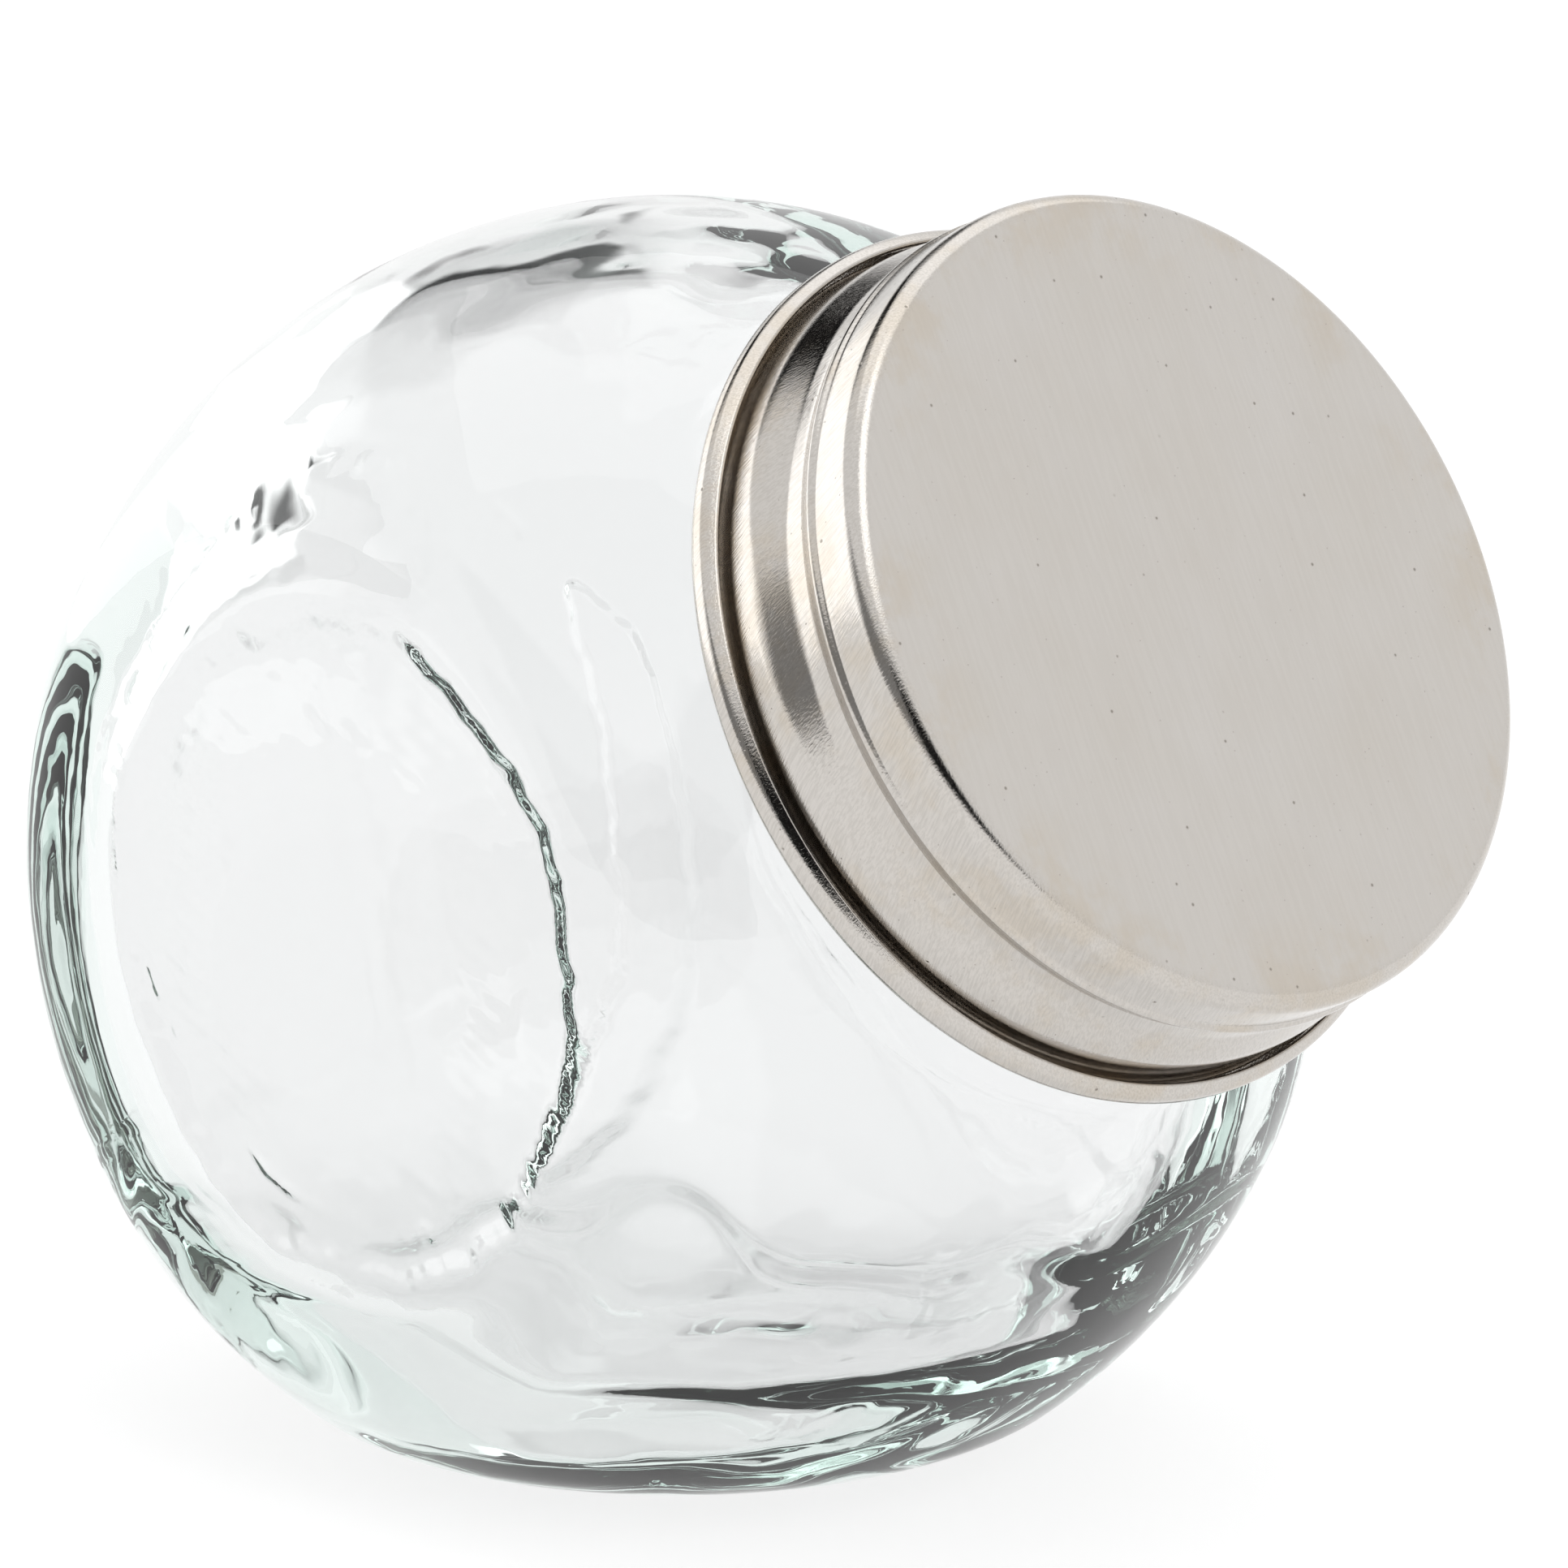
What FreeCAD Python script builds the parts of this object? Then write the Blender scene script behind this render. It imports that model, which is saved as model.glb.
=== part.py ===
"""Tilted glass jar with a metal screw lid, modelled as a parametric FreeCAD document in millimetres.

The jar stands on its flat base at Z = 0, with the origin at the middle of the base. Its body is a
crowned drum whose axis runs along Y, with a flat round panel on each side. Its neck leans forward,
towards +X, and the lid and its sealing disc are turned about the neck's axis. In the bodies below,
the origin is the drum's centre, and a Placement lifts each one to its height above the table.
"""

import FreeCAD
import Part
import math
import os

import Sketcher

V = FreeCAD.Vector

# Driving dimensions in millimetres, degrees and turns: value, and what it measures.
# Heights along the neck are counted from the drum's centre.
SIZES = {
    "drum_radius": (37.0, "largest outer radius of the drum"),
    "drum_centre": (32.0, "height of the drum's axis above the table"),
    "half_width": (26.95, "half the width across the flat side panels"),
    "crown_radius": (35.5, "radius of the drum's crowned rim, in section"),
    "outer_corner": (8.0, "outer corner between crown and side panel"),
    "base_round": (2.5, "rounding where the drum meets its flat base"),
    "crown_wall": (3.4, "glass thickness at the crown"),
    "side_wall": (3.8, "glass thickness at the side panels"),
    "inner_corner": (9.0, "inner corner between crown and side panel"),
    "floor_wall": (5.0, "glass thickness at the base"),
    "floor_round": (5.0, "rounding round the inner floor"),
    "neck_tilt": (63.2, "lean of the neck's axis from upright"),
    "neck_radius": (20.45, "outer radius of the neck between its threads"),
    "mouth_radius": (17.2, "radius of the mouth"),
    "lip_height": (43.2, "top of the lip"),
    "lip_round": (0.8, "rounding of the lip, outside and inside"),
    "shoulder_round": (2.5, "fillet where the neck leaves the drum"),
    "mouth_round": (3.0, "rounding where the mouth opens into the drum"),
    "pitch": (4.233, "rise of the screw thread in one turn"),
    "glass_thread_depth": (1.0, "height of the glass thread above the neck"),
    "glass_thread_foot": (1.9, "width of the glass thread at its foot"),
    "glass_thread_crest": (0.9, "width of the glass thread at its crest"),
    "glass_thread_start": (36.7, "where the glass thread begins"),
    "glass_thread_turns": (1.3, "turns of the glass thread"),
    "thread_bury": (0.4, "how deep each thread's foot is buried in its wall"),
    "sheet_gauge": (0.35, "thickness of the lid's sheet"),
    "lid_top": (44.75, "outer face of the lid's top"),
    "lid_radius": (22.37, "outer radius of the lid's upper band"),
    "lid_corner": (1.0, "outer corner round the lid's top"),
    "ridge_height": (41.05, "ridge round the lid"),
    "ridge_step": (0.24, "how far the ridge stands out of the upper band"),
    "cove_height": (40.1, "deepest line of the cove below the ridge"),
    "cove_radius": (22.1, "outer radius of the cove"),
    "cove_round": (1.2, "hollow of the cove"),
    "flare_height": (37.3, "line where the cove's flare meets the skirt"),
    "skirt_radius": (22.95, "outer radius of the skirt"),
    "curl_top": (34.95, "top of the curled edge"),
    "curl_bottom": (33.15, "bottom of the curled edge"),
    "curl_radius": (24.18, "outer radius of the curled edge"),
    "curl_round": (0.7, "rounding of the curled edge"),
    "lid_thread_bore": (20.85, "inner radius of the lid's thread"),
    "lid_thread_foot": (2.4, "width of the lid's thread at the skirt's radius"),
    "lid_thread_crest": (0.6, "width of the lid's thread at its crest"),
    "lid_thread_turns": (1.05, "turns of the lid's thread"),
    "lid_thread_drop": (1.2, "lid's thread below the glass thread it bears on"),
    "liner_radius": (21.2, "radius of the sealing disc"),
    "liner_gap": (0.05, "gap from the sealing disc to the lip and to the lid"),
    "liner_edge": (0.3, "rounding of the sealing disc's edge"),
}

START, END, CENTRE = 1, 2, 3
HORIZONTAL_AXIS, VERTICAL_AXIS = -1, -2
ORIGIN = (-1, 1)

doc = FreeCAD.newDocument("tilted_jar")
sheet = doc.addObject("Spreadsheet::Sheet", "Sizes")
for row, (alias, (amount, meaning)) in enumerate(SIZES.items(), start=1):
    sheet.set(f"A{row}", meaning)
    sheet.set(f"B{row}", str(amount))
    sheet.setAlias(f"B{row}", alias)
doc.recompute()


def value(expression):
    """The number that an expression of the sheet's cells gives now."""
    return float(sheet.evalExpression(expression))


def new_body(name, tilted):
    """A body whose own frame is lifted to the drum's centre, and leans with the neck if tilted."""
    body = doc.addObject("PartDesign::Body", name)
    body.Placement = FreeCAD.Placement(V(0, 0, 0), FreeCAD.Rotation(V(0, 1, 0), 0))
    body.setExpression("Placement.Base.z", "Sizes.drum_centre")
    if tilted:
        body.Placement.Rotation = FreeCAD.Rotation(V(0, 1, 0), value("Sizes.neck_tilt"))
        body.setExpression("Placement.Rotation.Angle", "Sizes.neck_tilt")
    return body


class Outline:
    """A closed sketch on one of a body's origin planes, with its dimensions bound to the sheet."""

    def __init__(self, body, name, plane, turned_by=None):
        self.sketch = body.newObject("Sketcher::SketchObject", name)
        origin_plane = next(o for o in body.Origin.OriginFeatures if o.Role == plane)
        self.sketch.AttachmentSupport = [(origin_plane, "")]
        self.sketch.MapMode = "FlatFace"
        if turned_by:
            turn = FreeCAD.Rotation(V(0, 0, 1), value(turned_by))
            self.sketch.AttachmentOffset = FreeCAD.Placement(V(0, 0, 0), turn)
            self.sketch.setExpression("AttachmentOffset.Rotation.Angle", turned_by)

    def line(self, start, end):
        return self.sketch.addGeometry(Part.LineSegment(V(*start, 0), V(*end, 0)), False)

    def arc(self, centre, radius, begin, end):
        """An arc drawn anticlockwise between two angles in radians."""
        circle = Part.Circle(V(*centre, 0), V(0, 0, 1), radius)
        return self.sketch.addGeometry(Part.ArcOfCircle(circle, begin, end), False)

    def rule(self, kind, *where):
        return self.sketch.addConstraint(Sketcher.Constraint(kind, *where))

    def dimension(self, kind, *where, to):
        """A dimension that follows an expression of the sheet's cells."""
        index = self.rule(kind, *where, value(to))
        self.sketch.setExpression(f"Constraints[{index}]", to)

    def polygon(self, corners):
        """Straight sides through the corners, each (across, up, rounding or None), anticlockwise."""
        places = [V(value(across), value(up), 0) for across, up, _ in corners]
        count = len(corners)
        trims = [self._trim(places, i, corners[i][2]) for i in range(count)]
        sides = []
        for i in range(count):
            away = (places[(i + 1) % count] - places[i]).normalize()
            start = places[i] + away * trims[i]
            end = places[(i + 1) % count] - away * trims[(i + 1) % count]
            sides.append(self.line((start.x, start.y), (end.x, end.y)))
        for i, (across, up, rounding) in enumerate(corners):
            before, after = sides[i - 1], sides[i]
            if rounding:
                self._round(places, i, before, after, trims[i], rounding)
                where = (self.sketch.addGeometry(Part.Point(places[i]), True), START)
                self.rule("PointOnObject", *where, before)
                self.rule("PointOnObject", *where, after)
            else:
                self.rule("Coincident", before, END, after, START)
                where = (after, START)
            self.place(where, across, up)

    def place(self, where, across, up):
        """Fix a point across and up from the origin."""
        for kind, axis, to in (("DistanceX", VERTICAL_AXIS, across), ("DistanceY", HORIZONTAL_AXIS, up)):
            if to == "0":
                self.rule("PointOnObject", *where, axis)
            else:
                self.dimension(kind, *ORIGIN, *where, to=to)

    def _trim(self, places, i, rounding):
        """How much a rounding takes off the two sides that meet at corner i."""
        if not rounding:
            return 0.0
        turn = (places[i] - places[i - 1]).getAngle(places[(i + 1) % len(places)] - places[i])
        return value(rounding) * math.tan(turn / 2)

    def _round(self, places, i, before, after, trim, rounding):
        """The arc between two sides, tangent to both."""
        arriving = (places[i] - places[i - 1]).normalize()
        leaving = (places[(i + 1) % len(places)] - places[i]).normalize()
        left_turn = arriving.cross(leaving).z > 0
        inward = V(-arriving.y, arriving.x, 0) * (1 if left_turn else -1)
        first = places[i] - arriving * trim
        last = places[i] + leaving * trim
        centre = first + inward * value(rounding)
        angles = [math.atan2(p.y - centre.y, p.x - centre.x) for p in (first, last)]
        begin, end = angles if left_turn else reversed(angles)
        arc = self.arc((centre.x, centre.y), value(rounding), begin, end)
        self.rule("Tangent", before, END, arc, START if left_turn else END)
        self.rule("Tangent", after, START, arc, END if left_turn else START)
        self.dimension("Radius", arc, to=rounding)


def revolve(body, kind, name, outline, axis="V_Axis"):
    """Turn an outline all the way round an axis of its sketch."""
    feature = body.newObject(f"PartDesign::{kind}", name)
    feature.Profile = outline.sketch
    feature.ReferenceAxis = (outline.sketch, [axis])
    feature.Angle = 360
    return feature


def add_drum(body, name, radius, crown, half_width, corner):
    """A crowned drum with flat sides, turned about Y. Its four sizes are expressions."""
    middle = value(f"{radius} - ({crown})")
    flat = middle + math.sqrt((value(crown) - value(corner)) ** 2 - (value(half_width) - value(corner)) ** 2)
    rise = value(half_width) - value(corner)
    swing = math.atan2(rise, flat - middle)
    side = value(half_width)
    outline = Outline(body, name + "Profile", "XY_Plane")
    axis = outline.line((0, -side), (0, side))
    top = outline.line((0, side), (flat, side))
    upper = outline.arc((flat, rise), value(corner), swing, math.pi / 2)
    rim = outline.arc((middle, 0), value(crown), -swing, swing)
    lower = outline.arc((flat, -rise), value(corner), -math.pi / 2, -swing)
    bottom = outline.line((flat, -side), (0, -side))
    outline.rule("Coincident", axis, END, top, START)
    outline.rule("Coincident", bottom, END, axis, START)
    outline.rule("Tangent", top, END, upper, END)
    outline.rule("Tangent", upper, START, rim, END)
    outline.rule("Tangent", rim, START, lower, END)
    outline.rule("Tangent", lower, START, bottom, START)
    outline.rule("Horizontal", top)
    outline.rule("Horizontal", bottom)
    outline.rule("PointOnObject", rim, CENTRE, HORIZONTAL_AXIS)
    outline.rule("PointOnObject", axis, END, VERTICAL_AXIS)
    outline.rule("Symmetric", axis, START, axis, END, *ORIGIN)
    outline.rule("Equal", upper, lower)
    outline.dimension("Radius", rim, to=crown)
    outline.dimension("Radius", upper, to=corner)
    outline.dimension("DistanceX", *ORIGIN, rim, CENTRE, to=f"{radius} - ({crown})")
    outline.dimension("DistanceY", *ORIGIN, axis, END, to=half_width)
    return revolve(body, "Revolution", name, outline)


def cut_flat(body, name, depth):
    """Cut a drum off level, at a depth below its centre that is an expression."""
    beyond = f"{depth} + 20"
    reach = "Sizes.drum_radius + 10"
    outline = Outline(body, name + "Profile", "XZ_Plane")
    outline.polygon([
        (f"-({reach})", f"-({beyond})", None),
        (reach, f"-({beyond})", None),
        (reach, f"-({depth})", None),
        (f"-({reach})", f"-({depth})", None),
    ])
    whole = body.Tip.Shape.Volume
    pocket = body.newObject("PartDesign::Pocket", name)
    pocket.Profile = outline.sketch
    pocket.Type = "ThroughAll"
    pocket.Midplane = True
    doc.recompute()
    if pocket.Shape.Volume >= whole:
        raise RuntimeError(f"{name} cuts nothing")
    return pocket


def fillet(body, name, radius, chosen):
    """Round the edges of the body's tip that the test chooses."""
    doc.recompute()
    base = body.Tip
    edges = [f"Edge{i}" for i, edge in enumerate(base.Shape.Edges, start=1) if chosen(edge)]
    if not edges:
        raise RuntimeError(f"{name} finds no edge")
    feature = body.newObject("PartDesign::Fillet", name)
    feature.Base = (base, edges)
    feature.setExpression("Radius", radius)
    doc.recompute()
    return feature


def lies_level(edge, height):
    """True for an edge that lies wholly at one height in the body's frame."""
    box = edge.BoundBox
    return abs(box.ZMin - height) < 1e-3 and abs(box.ZMax - height) < 1e-3


def joins_drum(edge, radius):
    """True for the wavy edge where a cylinder about the neck's axis meets the drum."""
    if isinstance(edge.Curve, Part.Line):
        return False
    lean = math.radians(value("Sizes.neck_tilt"))
    axis = V(math.sin(lean), 0, math.cos(lean))
    points = edge.discretize(24)
    distances = [p.cross(axis).Length for p in points]
    heights = [p.dot(axis) for p in points]
    on_cylinder = max(abs(d - radius) for d in distances) < 0.02
    return on_cylinder and max(heights) - min(heights) > 0.1 and min(heights) > 0


def add_thread(body, name, plane, turned_by, start, turns, corners):
    """A helical thread about the neck's axis. The corners of its section are counted from its start."""
    outline = Outline(body, name + "Profile", plane, turned_by)
    outline.polygon([(across, f"{start} + ({up})", None) for across, up in corners])
    thread = body.newObject("PartDesign::AdditiveHelix", name)
    thread.Profile = outline.sketch
    thread.ReferenceAxis = (outline.sketch, ["V_Axis"])
    thread.Mode = "pitch-turns-angle"
    thread.setExpression("Pitch", "Sizes.pitch")
    thread.setExpression("Turns", turns)
    thread.LeftHanded = False
    doc.recompute()
    return thread


def jar_body():
    """The glass: a drum with a flat base, and a threaded neck, less its hollow."""
    body = new_body("JarOutside", tilted=False)
    add_drum(body, "Drum", "Sizes.drum_radius", "Sizes.crown_radius", "Sizes.half_width",
             "Sizes.outer_corner")
    doc.recompute()
    cut_flat(body, "Base", "Sizes.drum_centre")
    fillet(body, "BaseEdge", "Sizes.base_round", lambda e: lies_level(e, -value("Sizes.drum_centre")))

    neck = Outline(body, "NeckProfile", "XZ_Plane", "-Sizes.neck_tilt")
    neck.polygon([
        ("0", "0", None),
        ("Sizes.neck_radius", "0", None),
        ("Sizes.neck_radius", "Sizes.lip_height", "Sizes.lip_round"),
        ("0", "Sizes.lip_height", None),
    ])
    revolve(body, "Revolution", "Neck", neck)
    fillet(body, "Shoulder", "Sizes.shoulder_round",
           lambda e: joins_drum(e, value("Sizes.neck_radius")))
    foot, crest = "Sizes.glass_thread_foot / 2", "Sizes.glass_thread_crest / 2"
    buried = "Sizes.neck_radius - Sizes.thread_bury"
    top = "Sizes.neck_radius + Sizes.glass_thread_depth"
    add_thread(body, "GlassThread", "XZ_Plane", "-Sizes.neck_tilt", "Sizes.glass_thread_start",
               "Sizes.glass_thread_turns",
               [(buried, f"-({foot})"), (top, f"-({crest})"), (top, crest), (buried, foot)])

    jar = doc.addObject("Part::Cut", "Jar")
    jar.Label = "jar_body"
    jar.Base = body
    jar.Tool = jar_hollow()
    return jar


def jar_hollow():
    """The space inside the glass: a smaller drum with a level floor, and the mouth."""
    body = new_body("JarHollow", tilted=False)
    add_drum(body, "Cavity", "Sizes.drum_radius - Sizes.crown_wall",
             "Sizes.crown_radius - Sizes.crown_wall", "Sizes.half_width - Sizes.side_wall",
             "Sizes.inner_corner")
    doc.recompute()
    floor = "Sizes.drum_centre - Sizes.floor_wall"
    cut_flat(body, "Floor", floor)
    fillet(body, "FloorEdge", "Sizes.floor_round", lambda e: lies_level(e, -value(floor)))

    mouth = Outline(body, "MouthProfile", "XZ_Plane", "-Sizes.neck_tilt")
    mouth.polygon([
        ("0", "0", None),
        ("Sizes.mouth_radius", "0", None),
        ("Sizes.mouth_radius", "Sizes.lip_height - Sizes.lip_round", None),
        ("Sizes.mouth_radius + Sizes.lip_round", "Sizes.lip_height", None),
        ("Sizes.mouth_radius + Sizes.lip_round", "Sizes.lip_height + 2", None),
        ("0", "Sizes.lip_height + 2", None),
    ])
    revolve(body, "Revolution", "Mouth", mouth)
    fillet(body, "MouthEdge", "Sizes.mouth_round",
           lambda e: joins_drum(e, value("Sizes.mouth_radius")))
    return body


def lid_shell():
    """The lid: one sheet with a ridge, a cove and a curled edge, and a thread that stands inward."""
    sheet_body = new_body("LidSheet", tilted=True)
    gauge = "Sizes.sheet_gauge"
    outline = Outline(sheet_body, "LidProfile", "XZ_Plane")
    outline.polygon([
        ("0", f"Sizes.lid_top - {gauge}", None),
        (f"Sizes.lid_radius - {gauge}", f"Sizes.lid_top - {gauge}", f"Sizes.lid_corner - {gauge}"),
        (f"Sizes.lid_radius - {gauge}", "Sizes.ridge_height", f"Sizes.cove_round - {gauge}"),
        (f"Sizes.cove_radius - {gauge}", "Sizes.cove_height", "Sizes.cove_round"),
        (f"Sizes.skirt_radius - {gauge}", "Sizes.flare_height", "Sizes.cove_round"),
        (f"Sizes.skirt_radius - {gauge}", "Sizes.curl_bottom", gauge),
        ("Sizes.curl_radius", "Sizes.curl_bottom", "Sizes.curl_round"),
        ("Sizes.curl_radius", "Sizes.curl_top", "Sizes.curl_round"),
        ("Sizes.skirt_radius", f"Sizes.curl_top + {gauge}", None),
        ("Sizes.skirt_radius", "Sizes.flare_height", "Sizes.cove_round"),
        ("Sizes.cove_radius", "Sizes.cove_height", f"Sizes.cove_round - {gauge}"),
        ("Sizes.lid_radius + Sizes.ridge_step", "Sizes.ridge_height", None),
        ("Sizes.lid_radius", "Sizes.ridge_height + 2 * Sizes.ridge_step", None),
        ("Sizes.lid_radius", "Sizes.lid_top", "Sizes.lid_corner"),
        ("0", "Sizes.lid_top", None),
    ])
    revolve(sheet_body, "Revolution", "Sheet", outline)

    thread = doc.addObject("Part::Common", "LidThread")
    thread.Base = lid_thread_coil()
    thread.Tool = lid_core()
    lid = doc.addObject("Part::Fuse", "Lid")
    lid.Label = "lid_shell"
    lid.Base = sheet_body
    lid.Tool = thread
    return lid


def lid_thread_coil():
    """The lid's thread as a coil that reaches into its wall. It begins a quarter turn on."""
    body = new_body("LidThreadCoil", tilted=True)
    foot, crest = "Sizes.lid_thread_foot / 2", "Sizes.lid_thread_crest / 2"
    start = "Sizes.glass_thread_start - Sizes.lid_thread_drop + Sizes.pitch / 4"
    tip, root = "Sizes.lid_thread_bore", "Sizes.skirt_radius"
    add_thread(body, "Coil", "YZ_Plane", None, start, "Sizes.lid_thread_turns",
               [(tip, f"-({crest})"), (root, f"-({foot})"), (root, foot), (tip, crest)])
    return body


def lid_core():
    """All that lies inside the middle of the lid's sheet."""
    body = new_body("LidCore", tilted=True)
    half = "Sizes.sheet_gauge / 2"
    outline = Outline(body, "CoreProfile", "XZ_Plane")
    outline.polygon([
        ("0", "Sizes.curl_bottom", None),
        (f"Sizes.skirt_radius - {half}", "Sizes.curl_bottom", None),
        (f"Sizes.skirt_radius - {half}", "Sizes.flare_height", None),
        (f"Sizes.cove_radius - {half}", "Sizes.cove_height", None),
        (f"Sizes.lid_radius - {half}", "Sizes.ridge_height", None),
        (f"Sizes.lid_radius - {half}", f"Sizes.lid_top - {half}", None),
        ("0", f"Sizes.lid_top - {half}", None),
    ])
    revolve(body, "Revolution", "Core", outline)
    return body


def lid_liner():
    """The sealing disc between the lip and the lid's top."""
    body = new_body("LidLiner", tilted=True)
    body.Label = "lid_liner"
    low = "Sizes.lip_height + Sizes.liner_gap"
    high = "Sizes.lid_top - Sizes.sheet_gauge - Sizes.liner_gap"
    outline = Outline(body, "LinerProfile", "XZ_Plane")
    outline.polygon([
        ("0", low, None),
        ("Sizes.liner_radius", low, "Sizes.liner_edge"),
        ("Sizes.liner_radius", high, "Sizes.liner_edge"),
        ("0", high, None),
    ])
    revolve(body, "Revolution", "Disc", outline)
    return body


pieces = [jar_body(), lid_shell(), lid_liner()]
doc.recompute()

for thing in doc.Objects:
    if "Invalid" in thing.State or "Error" in thing.State:
        raise RuntimeError(f"{thing.Name} failed: {thing.State}")
for piece in pieces:
    if piece.Shape.isNull() or not piece.Shape.isValid():
        raise RuntimeError(f"{piece.Label} has no valid shape")

os.makedirs("parts", exist_ok=True)
for piece in pieces:
    piece.Shape.exportStep(f"parts/{piece.Label}.step")
    box = piece.Shape.BoundBox
    print(f"{piece.Label}: {len(piece.Shape.Solids)} solid, {piece.Shape.Volume / 1000:.2f} cm3,"
          f" X {box.XMin:.2f} to {box.XMax:.2f}, Y {box.YMin:.2f} to {box.YMax:.2f},"
          f" Z {box.ZMin:.2f} to {box.ZMax:.2f}")
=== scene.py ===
"""Looks of the tilted glass jar: the moulded glass, the stamped lid and its sealing disc, in a white studio.

Lengths are in millimetres until a mesh or a light is made, and heights along the neck are counted
from the drum's centre, as in the CAD model.
"""

import math

import bpy
import numpy as np
from mathutils import Matrix, Vector


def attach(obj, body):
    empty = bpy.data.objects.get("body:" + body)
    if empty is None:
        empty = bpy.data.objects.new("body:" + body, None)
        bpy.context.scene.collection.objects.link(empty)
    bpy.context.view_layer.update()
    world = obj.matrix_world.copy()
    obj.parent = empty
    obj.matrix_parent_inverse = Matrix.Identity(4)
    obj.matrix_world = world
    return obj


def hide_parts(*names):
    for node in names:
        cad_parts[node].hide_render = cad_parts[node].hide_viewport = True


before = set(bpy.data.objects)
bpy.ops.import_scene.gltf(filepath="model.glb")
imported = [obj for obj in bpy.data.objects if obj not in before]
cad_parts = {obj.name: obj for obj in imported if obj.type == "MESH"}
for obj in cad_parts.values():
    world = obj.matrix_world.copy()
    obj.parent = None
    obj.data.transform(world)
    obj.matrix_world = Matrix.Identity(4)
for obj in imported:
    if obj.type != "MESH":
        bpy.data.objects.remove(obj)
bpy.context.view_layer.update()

MM = 0.001

# The drum, its hollow and its neck.
DRUM_CENTRE = 32.0
DRUM = {"radius": 37.0, "crown": 35.5, "half_width": 26.95, "corner": 8.0}
CAVITY = {"radius": 33.5, "crown": 26.0, "half_width": 22.8, "corner": 6.0}
CAVITY_AHEAD = 0.45
BASE_ROUND = 2.5
FLOOR_WALL = 5.0
FLOOR_ROUND = 6.5
NECK_TILT = 63.2
NECK_RADIUS = 20.45
MOUTH_RADIUS = 17.2
LIP_HEIGHT = 43.2
LIP_ROUND = 0.8
SHOULDER_ROUND = 3.0
MOUTH_ROUND = 3.5
NECK_FOOT = 35.2
PITCH = 4.233
GLASS_THREAD = {"start": 36.7, "turns": 1.3, "depth": 1.0, "foot": 1.9, "crest": 0.7}

# The lid, its thread and its sealing disc.
SHEET = 0.3
LID_TOP = 44.75
LID_RADIUS = 22.37
LID_CORNER = 0.95
RIDGE_HEIGHT = 41.05
RIDGE_STEP = 0.24
COVE_RADIUS = 22.12
COVE_HEIGHT = 40.15
FLARE_HEIGHT = 36.9
SKIRT_RADIUS = 22.95
CURL_BOTTOM = 33.16
CURL_TOP = 34.85
CURL_RADIUS = 24.17
LID_THREAD = {"start": 35.5 + PITCH / 4, "turns": 1.05, "depth": 0.95, "foot": 2.0, "crest": 0.6}
LINER_RADIUS = 21.2
LINER_LOW = 43.26
LINER_HIGH = 44.34
LIP_PRINT = 0.14

# Ripples of the hollow's wall. Places and radii are on the side panel, from the drum's centre, and
# angles are up from straight ahead, in degrees.
DISC = {"ahead": 0.65, "down": 1.2, "radius": 18.2, "height": 0.42}
RING = {"radius": 21.0, "height": 0.1, "fades_ahead": 8.0}
DIMPLE = {"ahead": 2.0, "up": 3.5, "radius": 20.2, "middle": 2.0, "half_span": 50.0, "half_width": 1.5,
          "depth": 0.3}
SIDE_BEGINS = 15.0
HEEL = {"down": 15.0, "height": 0.3}
CALM_HEIGHT = 33.0
FLOOR_CHILL_BELOW = -21.0
CROWN_CHILL_ABOVE = 18.0

# How finely the meshes are cut: steps round the glass and round the lid, and rings along the glass.
# The glass's steps are crowded towards its flat sides.
AROUND = 512
CROWDING = 0.4
TURNED_AROUND = 320
OUTER_RINGS = 230
INNER_RINGS = 360
NECK_RINGS = 56
BORE_RINGS = 16

# The rays that find the glass's surface: where they start, in mm, and their steps.
CAST_FROM = 50.0
CAST_STEPS = 45
RIPPLE_STEPS = 20

# Colours are linear; the glass density is per metre.
GLASS_TINT = (0.905, 0.9, 0.905, 1)
GLASS_COLOUR = (0.50, 0.775, 0.675, 1)
GLASS_DENSITY = 8.5
STEEL_COOL = (0.61, 0.585, 0.56)
STEEL_WARM = (0.575, 0.54, 0.495)
STEEL_STAIN = (0.56, 0.49, 0.40)
STEEL_DARK = (0.2, 0.18, 0.15)
STEEL_ROUGHNESS = 0.03

# The camera's direction in degrees, and its target, distance and lens.
CAMERA = {"azimuth": 46.7, "elevation": 11.9, "roll": -0.72, "target": (5.97, 2.62, 36.8),
          "distance": 429.4, "lens": 178.4}

# The light table: half its side and its drop below the jar, both in mm, its white and its glow.
TABLE_REACH = 1200
TABLE_DROP = 0.2
TABLE_WHITE = 0.3
TABLE_GLOW = 0.78

# Patches of the studio that are lighter or darker than its white walls, in degrees.
STUDIO_PATCHES = (
    {"azimuth": -75, "half_width": 30, "low": -4, "high": 20, "soft": 6, "light": 1.9},
    {"azimuth": 82, "half_width": 25, "low": 45, "high": 75, "soft": 6, "light": 2.0},
    {"azimuth": 10, "half_width": 34, "low": -2, "high": 25, "soft": 5, "light": 0.28},
    {"azimuth": 60, "half_width": 20, "low": -2, "high": 25, "soft": 5, "light": 0.01},
    {"azimuth": -108, "half_width": 20, "low": 25, "high": 50, "soft": 6, "light": 0.01},
)


# ---------------------------------------------------------------- helpers for shapes

def neck_axes():
    """Two unit vectors across the neck's axis and one along it."""
    lean = math.radians(NECK_TILT)
    across = np.array([math.cos(lean), 0.0, -math.sin(lean)])
    aside = np.array([0.0, 1.0, 0.0])
    along = np.array([math.sin(lean), 0.0, math.cos(lean)])
    return across, aside, along


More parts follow.
